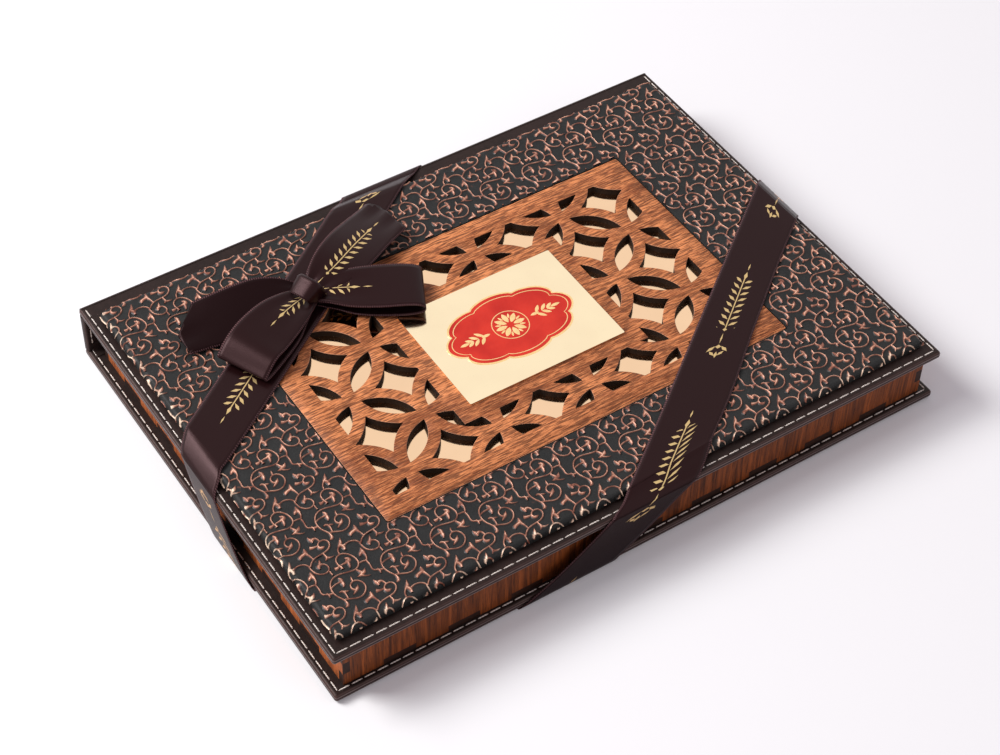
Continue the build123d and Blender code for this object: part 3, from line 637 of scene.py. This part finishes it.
fret_wood = new_material("fret_wood", Specular_IOR_Level=0.25)
place = surface()
facing = surface("Normal")
fibre = place.scaled(26, 520, 520).noise(1, 6, 0.65)
figure = place.scaled(7, 75, 75).noise(1, 3).between(0.3, 0.7)
pores = place.scaled(150, 1500, 1500).noise(1, 1).between(0.50, 0.60)
lines = place.scaled(60, 1400, 1400).noise(1, 2).between(0.56, 0.64)
fleck = place.scaled(260, 2400, 2400).noise(1, 2, 0.7)
tone = (0.12 * figure + 0.28 * fibre + 0.6 * fleck).between(0.37, 0.61)
colour = tone.blend(srgb(138, 74, 40), srgb(232, 147, 92))
colour = (pores * (0.5 + 0.3 * figure)).max(lines * 0.6).blend(colour, srgb(74, 37, 20))
slope = 1.0 - abs(facing.axis("Z"))
wall, arris_highlight = slope.between(0.62, 0.92), slope.between(0.05, 0.25)
# painted highlight: a thin pale line on the bevelled edges
colour = (arris_highlight * 0.55).blend(colour, srgb(214, 160, 126))
soot = place.noise(420, 4).blend(srgb(12, 7, 5), srgb(50, 31, 20))
link_to_shader(fret_wood, bump=fibre - 0.9 * pores, depth=0.00009, Base_Color=wall.blend(colour, soot),
               Roughness=(0.46 + 0.18 * fibre).max(0.95 * wall))

fret = bmesh.new()
fret.from_mesh(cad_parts["fretwork_panel"].data)
bmesh.ops.remove_doubles(fret, verts=fret.verts, dist=0.002 * mm)
bmesh.ops.dissolve_limit(fret, angle_limit=radians(1.0), verts=fret.verts, edges=fret.edges)
upper = window_high.z - 0.1 * mm
edges = [e for e in fret.edges if len(e.link_faces) == 2 and e.verts[0].co.z > upper]
arrises = [e for e in edges if abs(e.link_faces[0].normal.z - e.link_faces[1].normal.z) > 0.5]
bmesh.ops.bevel(fret, geom=arrises, offset=0.16 * mm, offset_type="OFFSET", segments=1, affect="EDGES",
                profile=0.5, material=-1)
bmesh.ops.triangulate(fret, faces=fret.faces)
fretwork = finished("fretwork_bevelled", fret, fret_wood, "lid", smooth=25, outward=False)
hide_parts("fretwork_panel")

# ----------------------------------------
# Centre plate. A bright gold plate glued on the solid middle, with an enamelled oval: a red field in a
# double gold line, a rosette of eight petals and a leaf spray at each side.

dress("centre_plate", gold_mirror("gold_plate", srgb(252, 230, 193), 0.10))
plate_low, plate_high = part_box("centre_plate")
plate_middle = Vector(((plate_low.x + plate_high.x) / 2, (plate_low.y + plate_high.y) / 2, plate_high.z))

enamel = new_material("red_enamel", Specular_IOR_Level=0.25)
place = surface()
mottle = place.noise(70, 3)
link_to_shader(enamel, Roughness=0.34 + 0.1 * mottle,
               Base_Color=mottle.between(0.3, 0.7).blend(srgb(190, 36, 26), srgb(216, 54, 38)))
gilt = new_material("gilt_line", Metallic=0.85)
place = surface()
tarnish = place.noise(500, 3)
link_to_shader(gilt, Roughness=0.3 + 0.15 * tarnish,
               Base_Color=tarnish.blend(srgb(236, 190, 120), srgb(255, 226, 170)))


def lobed(into, half_length, half_width, lobe_depth, filled):
    """A circle pulled into an oval with eight lobes."""
    rim = bmesh.ops.create_circle(into, cap_ends=filled, segments=96, radius=1.0)["verts"]
    for v in rim:
        angle = atan2(v.co.y, v.co.x)
        depth = lobe_depth * (1 - abs(cos(4 * angle)) ** 0.7)
        v.co = (v.co.x * half_length * (1 - depth), v.co.y * half_width * (1 - depth), 0)
    return rim


def oval(into, half_length, half_width, low, high, hole=None, lobe_depth=0.10):
    """A thin oval disc, or a ring where a hole is given, standing on the plate."""
    rim = lobed(into, half_length, half_width, lobe_depth, hole is None)
    faces = once(f for v in rim for f in v.link_faces)
    if hole is not None:
        rim += lobed(into, half_length - hole, half_width - hole, lobe_depth, False)
        edges = once(e for v in rim for e in v.link_edges)
        faces = bmesh.ops.bridge_loops(into, edges=edges)["faces"]
    top = of_kind(BMVert, bmesh.ops.extrude_face_region(into, geom=faces)["geom"])
    bmesh.ops.translate(into, verts=top, vec=(0, 0, high - low))
    bmesh.ops.translate(into, verts=once([*top, *rim]), vec=plate_middle + Vector((0, 0, low)))


field = bmesh.new()
oval(field, 28.0 * mm, 17.0 * mm, -0.02 * mm, 0.06 * mm)
finished("medallion_field", field, enamel, "lid")

lines, petal_height = bmesh.new(), 0.07 * mm
oval(lines, 28.7 * mm, 17.7 * mm, -0.02 * mm, 0.09 * mm, hole=0.8 * mm)
oval(lines, 26.4 * mm, 15.4 * mm, 0.0, 0.10 * mm, hole=0.35 * mm)
oval(lines, 7.6 * mm, 7.6 * mm, 0.0, 0.10 * mm, hole=0.35 * mm, lobe_depth=0.0)


def petal(into, angle, start, length, width, centre=(0.0, 0.0)):
    """A pointed leaf lying on the field, from start outwards, raised in its middle."""
    leaf = bmesh.ops.create_circle(into, cap_ends=True, segments=14, radius=0.5)["verts"]
    for v in leaf:
        v.co.y *= width * (1 - abs(2 * v.co.x) ** 2.2) ** 0.5 if abs(v.co.x) < 0.5 else 0
        v.co.x *= length
    faces = once(f for v in leaf for f in v.link_faces)
    top = of_kind(BMVert, bmesh.ops.extrude_face_region(into, geom=faces)["geom"])
    bmesh.ops.scale(into, verts=top, vec=(0.8, 0.6, 1))
    bmesh.ops.translate(into, verts=top, vec=(0, 0, petal_height))
    stem = Matrix.Translation(plate_middle + Vector((*centre, 0.055 * mm))) @ Matrix.Rotation(angle, 4, "Z")
    bmesh.ops.transform(into, verts=once([*leaf, *top]),
                        matrix=stem @ Matrix.Translation((start + length / 2, 0, 0)))


for k in range(8):
    petal(lines, k * pi / 4, 1.4 * mm, 5.2 * mm, 2.3 * mm)
    petal(lines, (k + 0.5) * pi / 4, 3.6 * mm, 2.6 * mm, 0.9 * mm)
for side in (-1, 1):
    for x, tilt, length in ((9.4, 0, 4.0), (12.0, 48, 4.6), (12.0, -48, 4.6), (14.6, 40, 4.2),
                            (14.6, -40, 4.2), (17.0, 30, 3.6), (17.0, -30, 3.6), (18.8, 0, 4.4)):
        angle = radians(tilt) if side > 0 else pi - radians(tilt)
        petal(lines, angle, 0.0, length * mm, 1.5 * mm, centre=(side * x * mm, 0))
bmesh.ops.remove_doubles(lines, verts=lines.verts, dist=0.0001 * mm)
finished("medallion_lines", lines, gilt, "lid")

# ----------------------------------------
# Ribbon. One loop of 22 mm plum-brown satin, woven edges, printed in gold with diamonds, leaves and
# dashes. It goes over two corners of the lid on a slant, down four sides and under two corners.

ribbon_width, ribbon_thick = 22.0 * mm, 0.35 * mm
rows_per_station, ribbon_columns = 6, 12
print_repeat, leaf_pitch = 84.0 * mm, 3.6 * mm


def pointed(run, off, x, y, half_length, half_width, turn=0.0):
    """A pointed leaf or diamond of the print, about a point given in mm."""
    dx, dy = run - x * mm, off - y * mm
    if turn:
        c, s = cos(radians(turn)), sin(radians(turn))
        dx, dy = dx * c + dy * s, dy * c - dx * s
    return (1.0 - (abs(dx) / (half_length * mm) + abs(dy) / (half_width * mm))).between(0.0, 0.15)


def leaf_print(along, off):
    """A branch of leaf pairs, a diamond at its tips, two dashes and an open flower, every 84 mm."""
    repeat = along.wrap(-print_repeat / 2, print_repeat / 2)
    pair = along.wrap(-leaf_pitch / 2, leaf_pitch / 2)
    branch = (0.28 * mm - abs(off)).between(0.0, 0.1 * mm)
    for side in (1, -1):
        branch = branch.max(pointed(pair, off, 0.2, side * 2.1, 2.3, 0.75, side * 50))
    mask = branch * (14.4 * mm - abs(repeat)).between(0.0, 0.1 * mm)
    for x, length, width in ((16.2, 2.6, 0.8), (-15.4, 1.0, 0.9), (-20.5, 3.2, 0.35), (21.5, 2.2, 0.35),
                             (-25.2, 1.2, 1.2), (-29.8, 1.9, 0.7)):
        mask = mask.max(pointed(repeat, off, x, 0, length, width))
    for side in (-1, 1):
        mask = mask.max(pointed(repeat, off, -26.5, side * 2.4, 2.2, 0.8, side * -40))
        mask = mask.max(pointed(repeat, off, -29.0, side * 1.6, 1.7, 0.7, side * 40))
    return mask


def satin_cloth(name, gold=None, shine=0.19, shade=1.0):
    """Satin that follows the ribbon's length and width, plain or with a gold print; shade below 1 is painted
    shade.
    """
    satin = new_material(name, Specular_IOR_Level=shine, Specular_Tint=srgb(255, 202, 205))
    uv = Signal.node("UVMap", uv_map="weave")
    along, across = uv.axis("X"), uv.axis("Y")
    off = across - ribbon_width / 2
    warp = (across * (2 * pi / (0.42 * mm))).math("SINE")
    weft = (along * (2 * pi / (0.5 * mm))).math("SINE")
    selvedge = abs(off).between(ribbon_width / 2 - 0.75 * mm, ribbon_width / 2 - 0.6 * mm)
    teeth = (along * (2 * pi / (0.9 * mm))).math("SINE")
    lustre = uv.scaled(60, 700, 1).noise(1, 3)
    colour = (shade * (0.35 + 0.3 * warp * lustre)).blend(srgb(17, 5, 6), srgb(38, 16, 16))
    colour = (selvedge * (0.5 + 0.5 * teeth)).blend(colour, srgb(96, 68, 70))
    ends = {}
    if gold:
        wear = 0.75 + 0.5 * uv.scaled(900, 900, 1).noise(1, 2)
        print_mask = gold(along, off) * wear.min(1.0)
        colour = print_mask.min(1.0).max(0.0).blend(colour, srgb(214, 184, 128))
        ends["Metallic"] = print_mask * 0.6
    weave = (1.0 - selvedge) * (0.14 * warp + 0.05 * weft) + selvedge * teeth * 2.0
    link_to_shader(satin, bump=weave, depth=0.00003, Base_Color=colour,
                   Roughness=0.28 + 0.08 * lustre + 0.2 * selvedge, **ends)
    return satin


printed_satin = satin_cloth("plum_satin", leaf_print)
plain_satin = satin_cloth("plum_satin_plain")
# painted shade: the front and right drops take a darker, duller copy of the printed satin
shaded_drop_satin = satin_cloth("plum_satin_drop_painted_shade", leaf_print, shine=0.13, shade=0.5)
# painted shade: a nearly black copy of the plain satin for the left tail
shaded_tail_satin = satin_cloth("plum_satin_tail_painted_shade", shine=0.11, shade=0.15)


def smooth_line(points, places):
    """A point for each place (0 to 1) along a Catmull-Rom line through the given points."""
    ends = [points[0] * 2 - points[1], *points, points[-1] * 2 - points[-2]]
    made = []
    for place in places:
        span = min(int(place * (len(points) - 1)), len(points) - 2)
        t = place * (len(points) - 1) - span
        a, b, c, d = ends[span:span + 4]
        bend, twist = a * 2 - b * 5 + c * 4 - d, b * 3 - a - c * 3 + d
        made.append((b * 2 + (c - a) * t + bend * t * t + twist * t ** 3) / 2)
    return made


def ribbon_mesh(stations, folds, starts_at, ends_at):
    """A strip between two edge lines, given as (far edge, near edge) stations; its UV is in metres."""
    rows = rows_per_station * (len(stations) - 1)
    strip = bmesh.new()
    layer = strip.loops.layers.uv.new("weave")
    bmesh.ops.create_grid(strip, x_segments=rows, y_segments=ribbon_columns, size=0.5, calc_uvs=True)
    places = [k / rows for k in range(rows + 1)]
    far = smooth_line([Vector(s[0]) * mm for s in stations], places)
    near = smooth_line([Vector(s[1]) * mm for s in stations], places)
    middle = [(a + b) / 2 for a, b in zip(far, near)]
    length = [0.0]
    for a, b in zip(middle, middle[1:]):
        length.append(length[-1] + (b - a).length)
    first = starts_at if ends_at is None else ends_at - length[-1]
    for v in strip.verts:
        k, t = round((v.co.x + 0.5) * rows), v.co.y + 0.5
        v.co = far[k].lerp(near[k], t)
        if folds:
            run = (middle[min(k + 1, rows)] - middle[max(k - 1, 0)]).normalized()
            up = run.cross(far[k] - near[k]).normalized()
            v.co += up * folds(places[k], t) * mm
    for face in strip.faces:
        for loop in face.loops:
            u, w = loop[layer].uv
            loop[layer].uv = (first + length[round(u * rows)], w * ribbon_width)
    return strip, first, first + length[-1]


def ribbon(name, stations, node=None, body=None, folds=None, lies="stretched", rests=(),
           flat_width=ribbon_width, cloth=printed_satin, starts_at=0.0, ends_at=None):
    """A finished length of ribbon; also where its print starts and ends."""
    strip, first, last = ribbon_mesh(stations, folds, starts_at, ends_at)
    piece = finished(name, strip, cloth, body, smooth=70)
    solid = piece.modifiers.new("thickness", "SOLIDIFY")
    solid.thickness, solid.offset = ribbon_thick, 0.0
    bpy.context.view_layer.update()
    piece_now = piece.evaluated_get(bpy.context.evaluated_depsgraph_get())
    thick = bpy.data.meshes.new_from_object(piece_now)
    piece.modifiers.clear()
    piece.data = thick
    if node:
        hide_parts(node)
    round(last - first, 4)
    return piece, first, last


# the tops and the outer faces that the ribbon lies on, in mm
lid_top, panel_top = case_high.z / mm, panel_high.z / mm
out_x = (case_high.x + 0.5 * mm) / mm
out_front = (case_low.y - 0.5 * mm) / mm
out_back = (case_high.y + 0.5 * mm) / mm


def level(*rows):
    """Stations from rows of far x and y, near x and y, height and, where it differs, the near height."""
    return [((a, b, z), (c, d, *(near or [z]))) for a, b, c, d, z, *near in rows]


# over the corner by the bow: from the spine's edge, along the panel, down to the left edge
_, bow_band_start, bow_band_end = ribbon("ribbon_over_bow_corner", level(
    (-20.6, 96.4, 16.7, 96.4, lid_top + 0.9),
    (-25.6, 92.8, 9.6, 91.4, panel_top + 0.1, panel_top + 0.3),
    (-29, 90.4, 6.2, 89, panel_top + 0.75, panel_top + 0.9),
    (-36, 85.4, -2, 83, panel_top + 0.9),
    (-62, 67.2, -40, 55.4, panel_top + 0.85),
    (-92, 46.4, -76, 30.2, panel_top + 0.85),
    (-118, 28.3, -107, 8.6, panel_top + 0.85),
    (-129.6, 20.2, -126.4, -4.5, panel_top + 0.9),
    (-132, 18.4, -130.4, -6.9, panel_top + 0.65, panel_top + 0.9),
    (-134.4, 16.2, -133, -10, panel_top - 0.8, panel_top + 0.1),
    (-136.9, 13.4, -136.6, -13.2, lid_top + 0.85),
    (-138, 11.4, -138, -15, lid_top - 0.5)),
    node="ribbon_band_bow", body="lid", rests=["panel_leather", "lid_outer_leather"], starts_at=-0.038)

# over the opposite corner: from the front edge to the right edge
_, plain_band_start, plain_band_end = ribbon("ribbon_over_plain_corner", level(
    (-20.4, out_front, 18.6, out_front, lid_top - 0.5),
    (-18.6, out_front + 1, 20.6, out_front + 1, lid_top + 0.5),
    (-14, -97.6, 25.6, -96, panel_top - 1.2),
    (-9.6, -94.4, 30.4, -92.2, panel_top + 0.55, panel_top + 0.85),
    (-6, -91.8, 34, -89.4, panel_top + 0.9),
    (24.4, -69.1, 53.4, -75.3, panel_top + 0.85),
    (62, -40.6, 80, -54, panel_top + 0.85),
    (98, -13.4, 108, -32.2, panel_top + 0.85),
    (128.2, 9.3, 129.4, -16.2, panel_top + 0.9),
    (132.2, 12.4, 132.8, -13.6, panel_top + 0.6, panel_top + 0.5),
    (135, 14.6, 135.2, -11.6, panel_top - 1.2),
    (137.2, 16.2, 137.2, -9.8, lid_top + 0.5),
    (out_x, 17.2, out_x, -8.8, lid_top - 0.5)),
    node="ribbon_band_plain", body="lid", rests=["panel_leather", "lid_outer_leather"], starts_at=-0.020)


# the drops: they hang from the lid's edge
def hung_drop(name, node, stations, **finish):
    """A length of ribbon on the lid's edge, in front of the case's wall."""
    drop, _, _ = ribbon(name, stations, node=node, body="lid", lies="hung",
                        rests=["lid_outer_leather"], **finish)
    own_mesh(drop)


hung_drop("ribbon_down_left", "ribbon_drop_left", level(
    (-138, 11.6, -138, -14.8, lid_top - 0.4),
    (-138.35, 6.6, -138.4, -20.2, lid_top - 6),
    (-138.5, -1.6, -138.6, -28.6, lid_top - 15),
    (-138.3, -7.6, -138.4, -35.4, 4.6),
    (-138.1, -10.8, -138.1, -39.6, 1.2),
    (-137.6, -12.4, -137.6, -41.2, 0.2)), starts_at=bow_band_end)
hung_drop("ribbon_down_front", "ribbon_drop_front", level(
    (-60.2, out_front + 0.6, -18.8, out_front + 0.6, 0.2),
    (-58.6, out_front, -17.4, out_front, 1.2),
    (-55, out_front - 0.3, -14.6, out_front - 0.3, 3.6),
    (-42, out_front - 0.5, -3.4, out_front - 0.5, lid_top - 15),
    (-30, out_front - 0.3, 8, out_front - 0.3, lid_top - 7),
    (-20.6, out_front, 18.4, out_front, lid_top - 0.4)), ends_at=plain_band_start, cloth=shaded_drop_satin)
hung_drop("ribbon_down_right", "ribbon_drop_right", level(
    (138, 17.2, 138, -8.8, lid_top - 0.4),
    (138.4, 22, 138.4, -4.4, lid_top - 7),
    (138.5, 28.6, 138.5, 1.8, lid_top - 16),
    (138.1, 37, 138.1, 9.6, 1.2),
    (137.6, 38.2, 137.6, 10.6, 0.2)), starts_at=plain_band_end, cloth=shaded_drop_satin)

# down the spine, bending over the two folds of the case, and under the base at two corners
top_fold, top_fold_start, _ = ribbon("ribbon_fold_top", level(
    (-9.7, out_back, 28.3, out_back, lid_top - 6.7),
    (-12.4, out_back, 25.6, out_back, lid_top - 4.3),
    (-15.2, out_back, 22.8, out_back, lid_top - 1.7),
    (-16.8, 99.9, 21.2, 99.9, lid_top - 0.1),
    (-18.3, 98.4, 19.6, 98.4, lid_top + 0.6),
    (-20.7, 96.3, 16.6, 96.3, lid_top + 0.9)),
    rests=["spine_outer_leather"], ends_at=bow_band_start)
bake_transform(top_fold)
_, spine_start, _ = ribbon("ribbon_down_spine", level(
    (10, out_back, 47.4, out_back, 6.6),
    (4, out_back, 41.6, out_back, 10.6),
    (-4, out_back, 34, out_back, 15.6),
    (-9.8, out_back, 28.2, out_back, lid_top - 6.6)),
    node="ribbon_drop_spine", body="spine", rests=["spine_outer_leather"], ends_at=top_fold_start)
bottom_fold, _, _ = ribbon("ribbon_fold_bottom", level(
    (21.6, 95.6, 60, 95.6, 0.2),
    (18.2, 98.2, 55.6, 98.2, 0.2),
    (16.8, 99.9, 53.8, 99.9, 0.6),
    (15.2, out_back, 52.2, out_back, 2.4),
    (12.6, out_back, 49.8, out_back, 4.4),
    (9.9, out_back, 47.3, out_back, 6.7)),
    rests=["spine_outer_leather"], ends_at=spine_start)
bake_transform(bottom_fold)
ribbon("ribbon_under_front_corner", level(
    (-137.6, -12.2, -137.6, -41, 0.2),
    (-120, -24.6, -110, -59.8, 0.2),
    (-78, -56, -80, -82, 0.2),
    (-19, -99.8, -60, -99.8, 0.2)),
    node="ribbon_under_front", body="base", rests=["base_outer_leather"])
ribbon("ribbon_under_spine_corner", level(
    (137.6, 38, 137.6, 10.8, 0.2),
    (113, 56, 101, 37.2, 0.2),
    (84, 77.4, 52, 73, 0.2),
    (59.9, 95.7, 21.5, 95.7, 0.2)),
    node="ribbon_under_back", body="base", rests=["base_outer_leather"])

# ----------------------------------------
# Bow. Two loops and two cut tails of the same ribbon, on the band that crosses the lid, pinched
# together under one turn of ribbon folded to half its width.

knot_low, knot_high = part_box("bow_knot")
knot = (knot_low + knot_high) / 2 / mm


def spread(angle, stations):
    """Stations given as (out from the knot, sideways, half width, height far side, height near side)."""
    run = Vector((cos(radians(angle)), sin(radians(angle)), 0))
    left = Vector((-run.y, run.x, 0))
    made = []
    for out, sideways, half, far_z, near_z in stations:
        centre = Vector((knot.x, knot.y, 0)) + run * out + left * sideways
        made.append((centre + left * half + Vector((0, 0, far_z)),
                     centre - left * half + Vector((0, 0, near_z))))
    return made


def pinched(depth, count, reach):
    """Pleats that run out from the knot and die away."""
    def pleat(place, t):
        fade = max(0.0, 1 - min(place, 1 - place) / reach)
        return depth * fade ** 1.5 * sin(t * count * 2 * pi)
    return pleat


def bow_piece(name, node, angle, pleats, stations, **more):
    """A loop or a tail, gathered at the knot."""
    return ribbon(name, spread(angle, stations), node=node, body="lid", folds=pinched(*pleats),
                  lies="gathered", rests=["bow_knot"], **more)[0]


def cut_end(piece, place, direction):
    """Cuts a tail on a slant."""
    mesh = bmesh.new()
    mesh.from_mesh(piece.data)
    cut_off(mesh, Vector(place) * mm, direction)
    mesh.to_mesh(piece.data)
    mesh.free()


bow_piece("bow_right_loop", "bow_loop_right", -27.5, (0.8, 2.5, 0.28), (
    (2, 0.5, 4.6, 36.5, 34.8), (8, 0.3, 6.6, 38.4, 35.6), (17, 0, 9.4, 38.8, 36),
    (28, -0.2, 10.8, 38.6, 36.6), (38, -0.2, 11, 38.2, 37), (43.4, -0.2, 11, 37, 36.4),
    (45.4, -0.2, 11, 34.8, 34.6), (43, -0.4, 11, 32.8, 32.4), (34, -0.6, 10.6, 31.9, 31.6),
    (20, -0.4, 9.4, 32, 31.7), (10, 0, 6.4, 32.8, 32.4), (3, 0, 4.6, 34, 33.2)))
bow_piece("bow_left_loop", "bow_loop_left", -153.5, (0.8, 2.5, 0.28), (
    (2, 0.5, 4.8, 34.5, 37), (9, 0.2, 7.4, 36.2, 39.2), (18, -0.4, 9.8, 36.8, 40.4),
    (29, -0.6, 11, 37, 40.4), (37, -0.6, 11.2, 37.3, 39.2), (43.2, -0.6, 11.3, 34.2, 35.8),
    (45.2, -0.4, 11.2, 32.8, 33.8), (42, 0, 11, 31.9, 32.4), (32, 0, 10.6, 31.8, 32.2),
    (20, 0, 9.4, 31.9, 32.2), (10, 0, 6.4, 32.2, 32.8), (3, 0, 4.6, 33.4, 33.6)))
tail = bow_piece("bow_upper_tail", "bow_tail_upper", 24.0, (0.9, 2.5, 0.35), (
    (2, -0.8, 4.4, 37.6, 36), (8, -1.8, 7.4, 40.4, 37.2), (17, -2.2, 10.2, 41.6, 37.8),
    (28, -1.2, 11, 40.4, 37.4), (40, 0, 11, 37.4, 36.2), (50, 0.6, 11, 34.9, 34.8),
    (60, 1, 11, 33.4, 33.6)), starts_at=-0.024)
cut_end(tail, (-18.2, 86.8, 34.5), (0.60, 0.80, 0))
cut_end(tail, (-9.8, 79.0, 34.5), (0.98, 0.10, 0))
# the left tail wears the painted-shade satin
tail = bow_piece("bow_left_tail", "bow_tail_left", 169.0, (0.8, 2.0, 0.35), (
    (2, -1, 4.4, 33.2, 36.6), (9, -1.5, 7.6, 32.3, 38.8), (18, -1.2, 10.6, 31.7, 39.4),
    (28, -0.8, 11.1, 31.4, 38.6), (38, -0.4, 11.1, 31.3, 37), (48, 0, 11.1, 31.3, 35.2),
    (60, 0.6, 11.1, 31.4, 34)), cloth=shaded_tail_satin)
cut_end(tail, (-99.0, 73.0, 34.0), (-0.67, 0.74, 0))
cut_end(tail, (-113.4, 58.0, 32.5), (-1.0, 0.0, 0))

# the knot: one turn round the bow, wide at the right and tight at the left
wrap_at, wrap_points = Vector((-61.2, 50.9, 36.9)), 20
wrap_half, wrap_y, wrap_z = 4.3, 5.6, 4.6
across = Vector((cos(radians(20.0)), sin(radians(20.0)), 0))
sideways = Vector((-across.y, across.x, 0))
run = (across + Vector((0, 0, 0.42))).normalized()
left = (sideways - 0.13 * run.cross(sideways)).normalized()


def squared(value):
    """Bends a sine towards its ends, so that a round section gets flat sides."""
    return (1 if value > 0 else -1) * abs(value) ** 0.65


wrap = []
for k in range(wrap_points + 1):
    angle = 2 * pi * k / wrap_points + pi
    middle = wrap_at + left * wrap_y * squared(sin(angle)) + run.cross(left) * wrap_z * squared(cos(angle))
    wrap.append((middle + run * wrap_half, middle - run * wrap_half))


def knot_folds(place, t):
    """How far in the wrap goes: tightest at its left rim, where t is 1, doubled over near the right."""
    doubled = 0.45 * max(0.0, 1 - abs(t - 0.14) / 0.09)
    return 1.52 * t - 1.0 + 1.0 * (1 - t) ** 6 - doubled + 0.045 * sin(t * 38 + 5 * place)


ribbon("bow_knot_wrap", wrap, node="bow_knot", body="lid", folds=knot_folds, lies="gathered",
       rests=["bow_left_loop", "bow_right_loop"], flat_width=ribbon_width / 2, cloth=plain_satin)
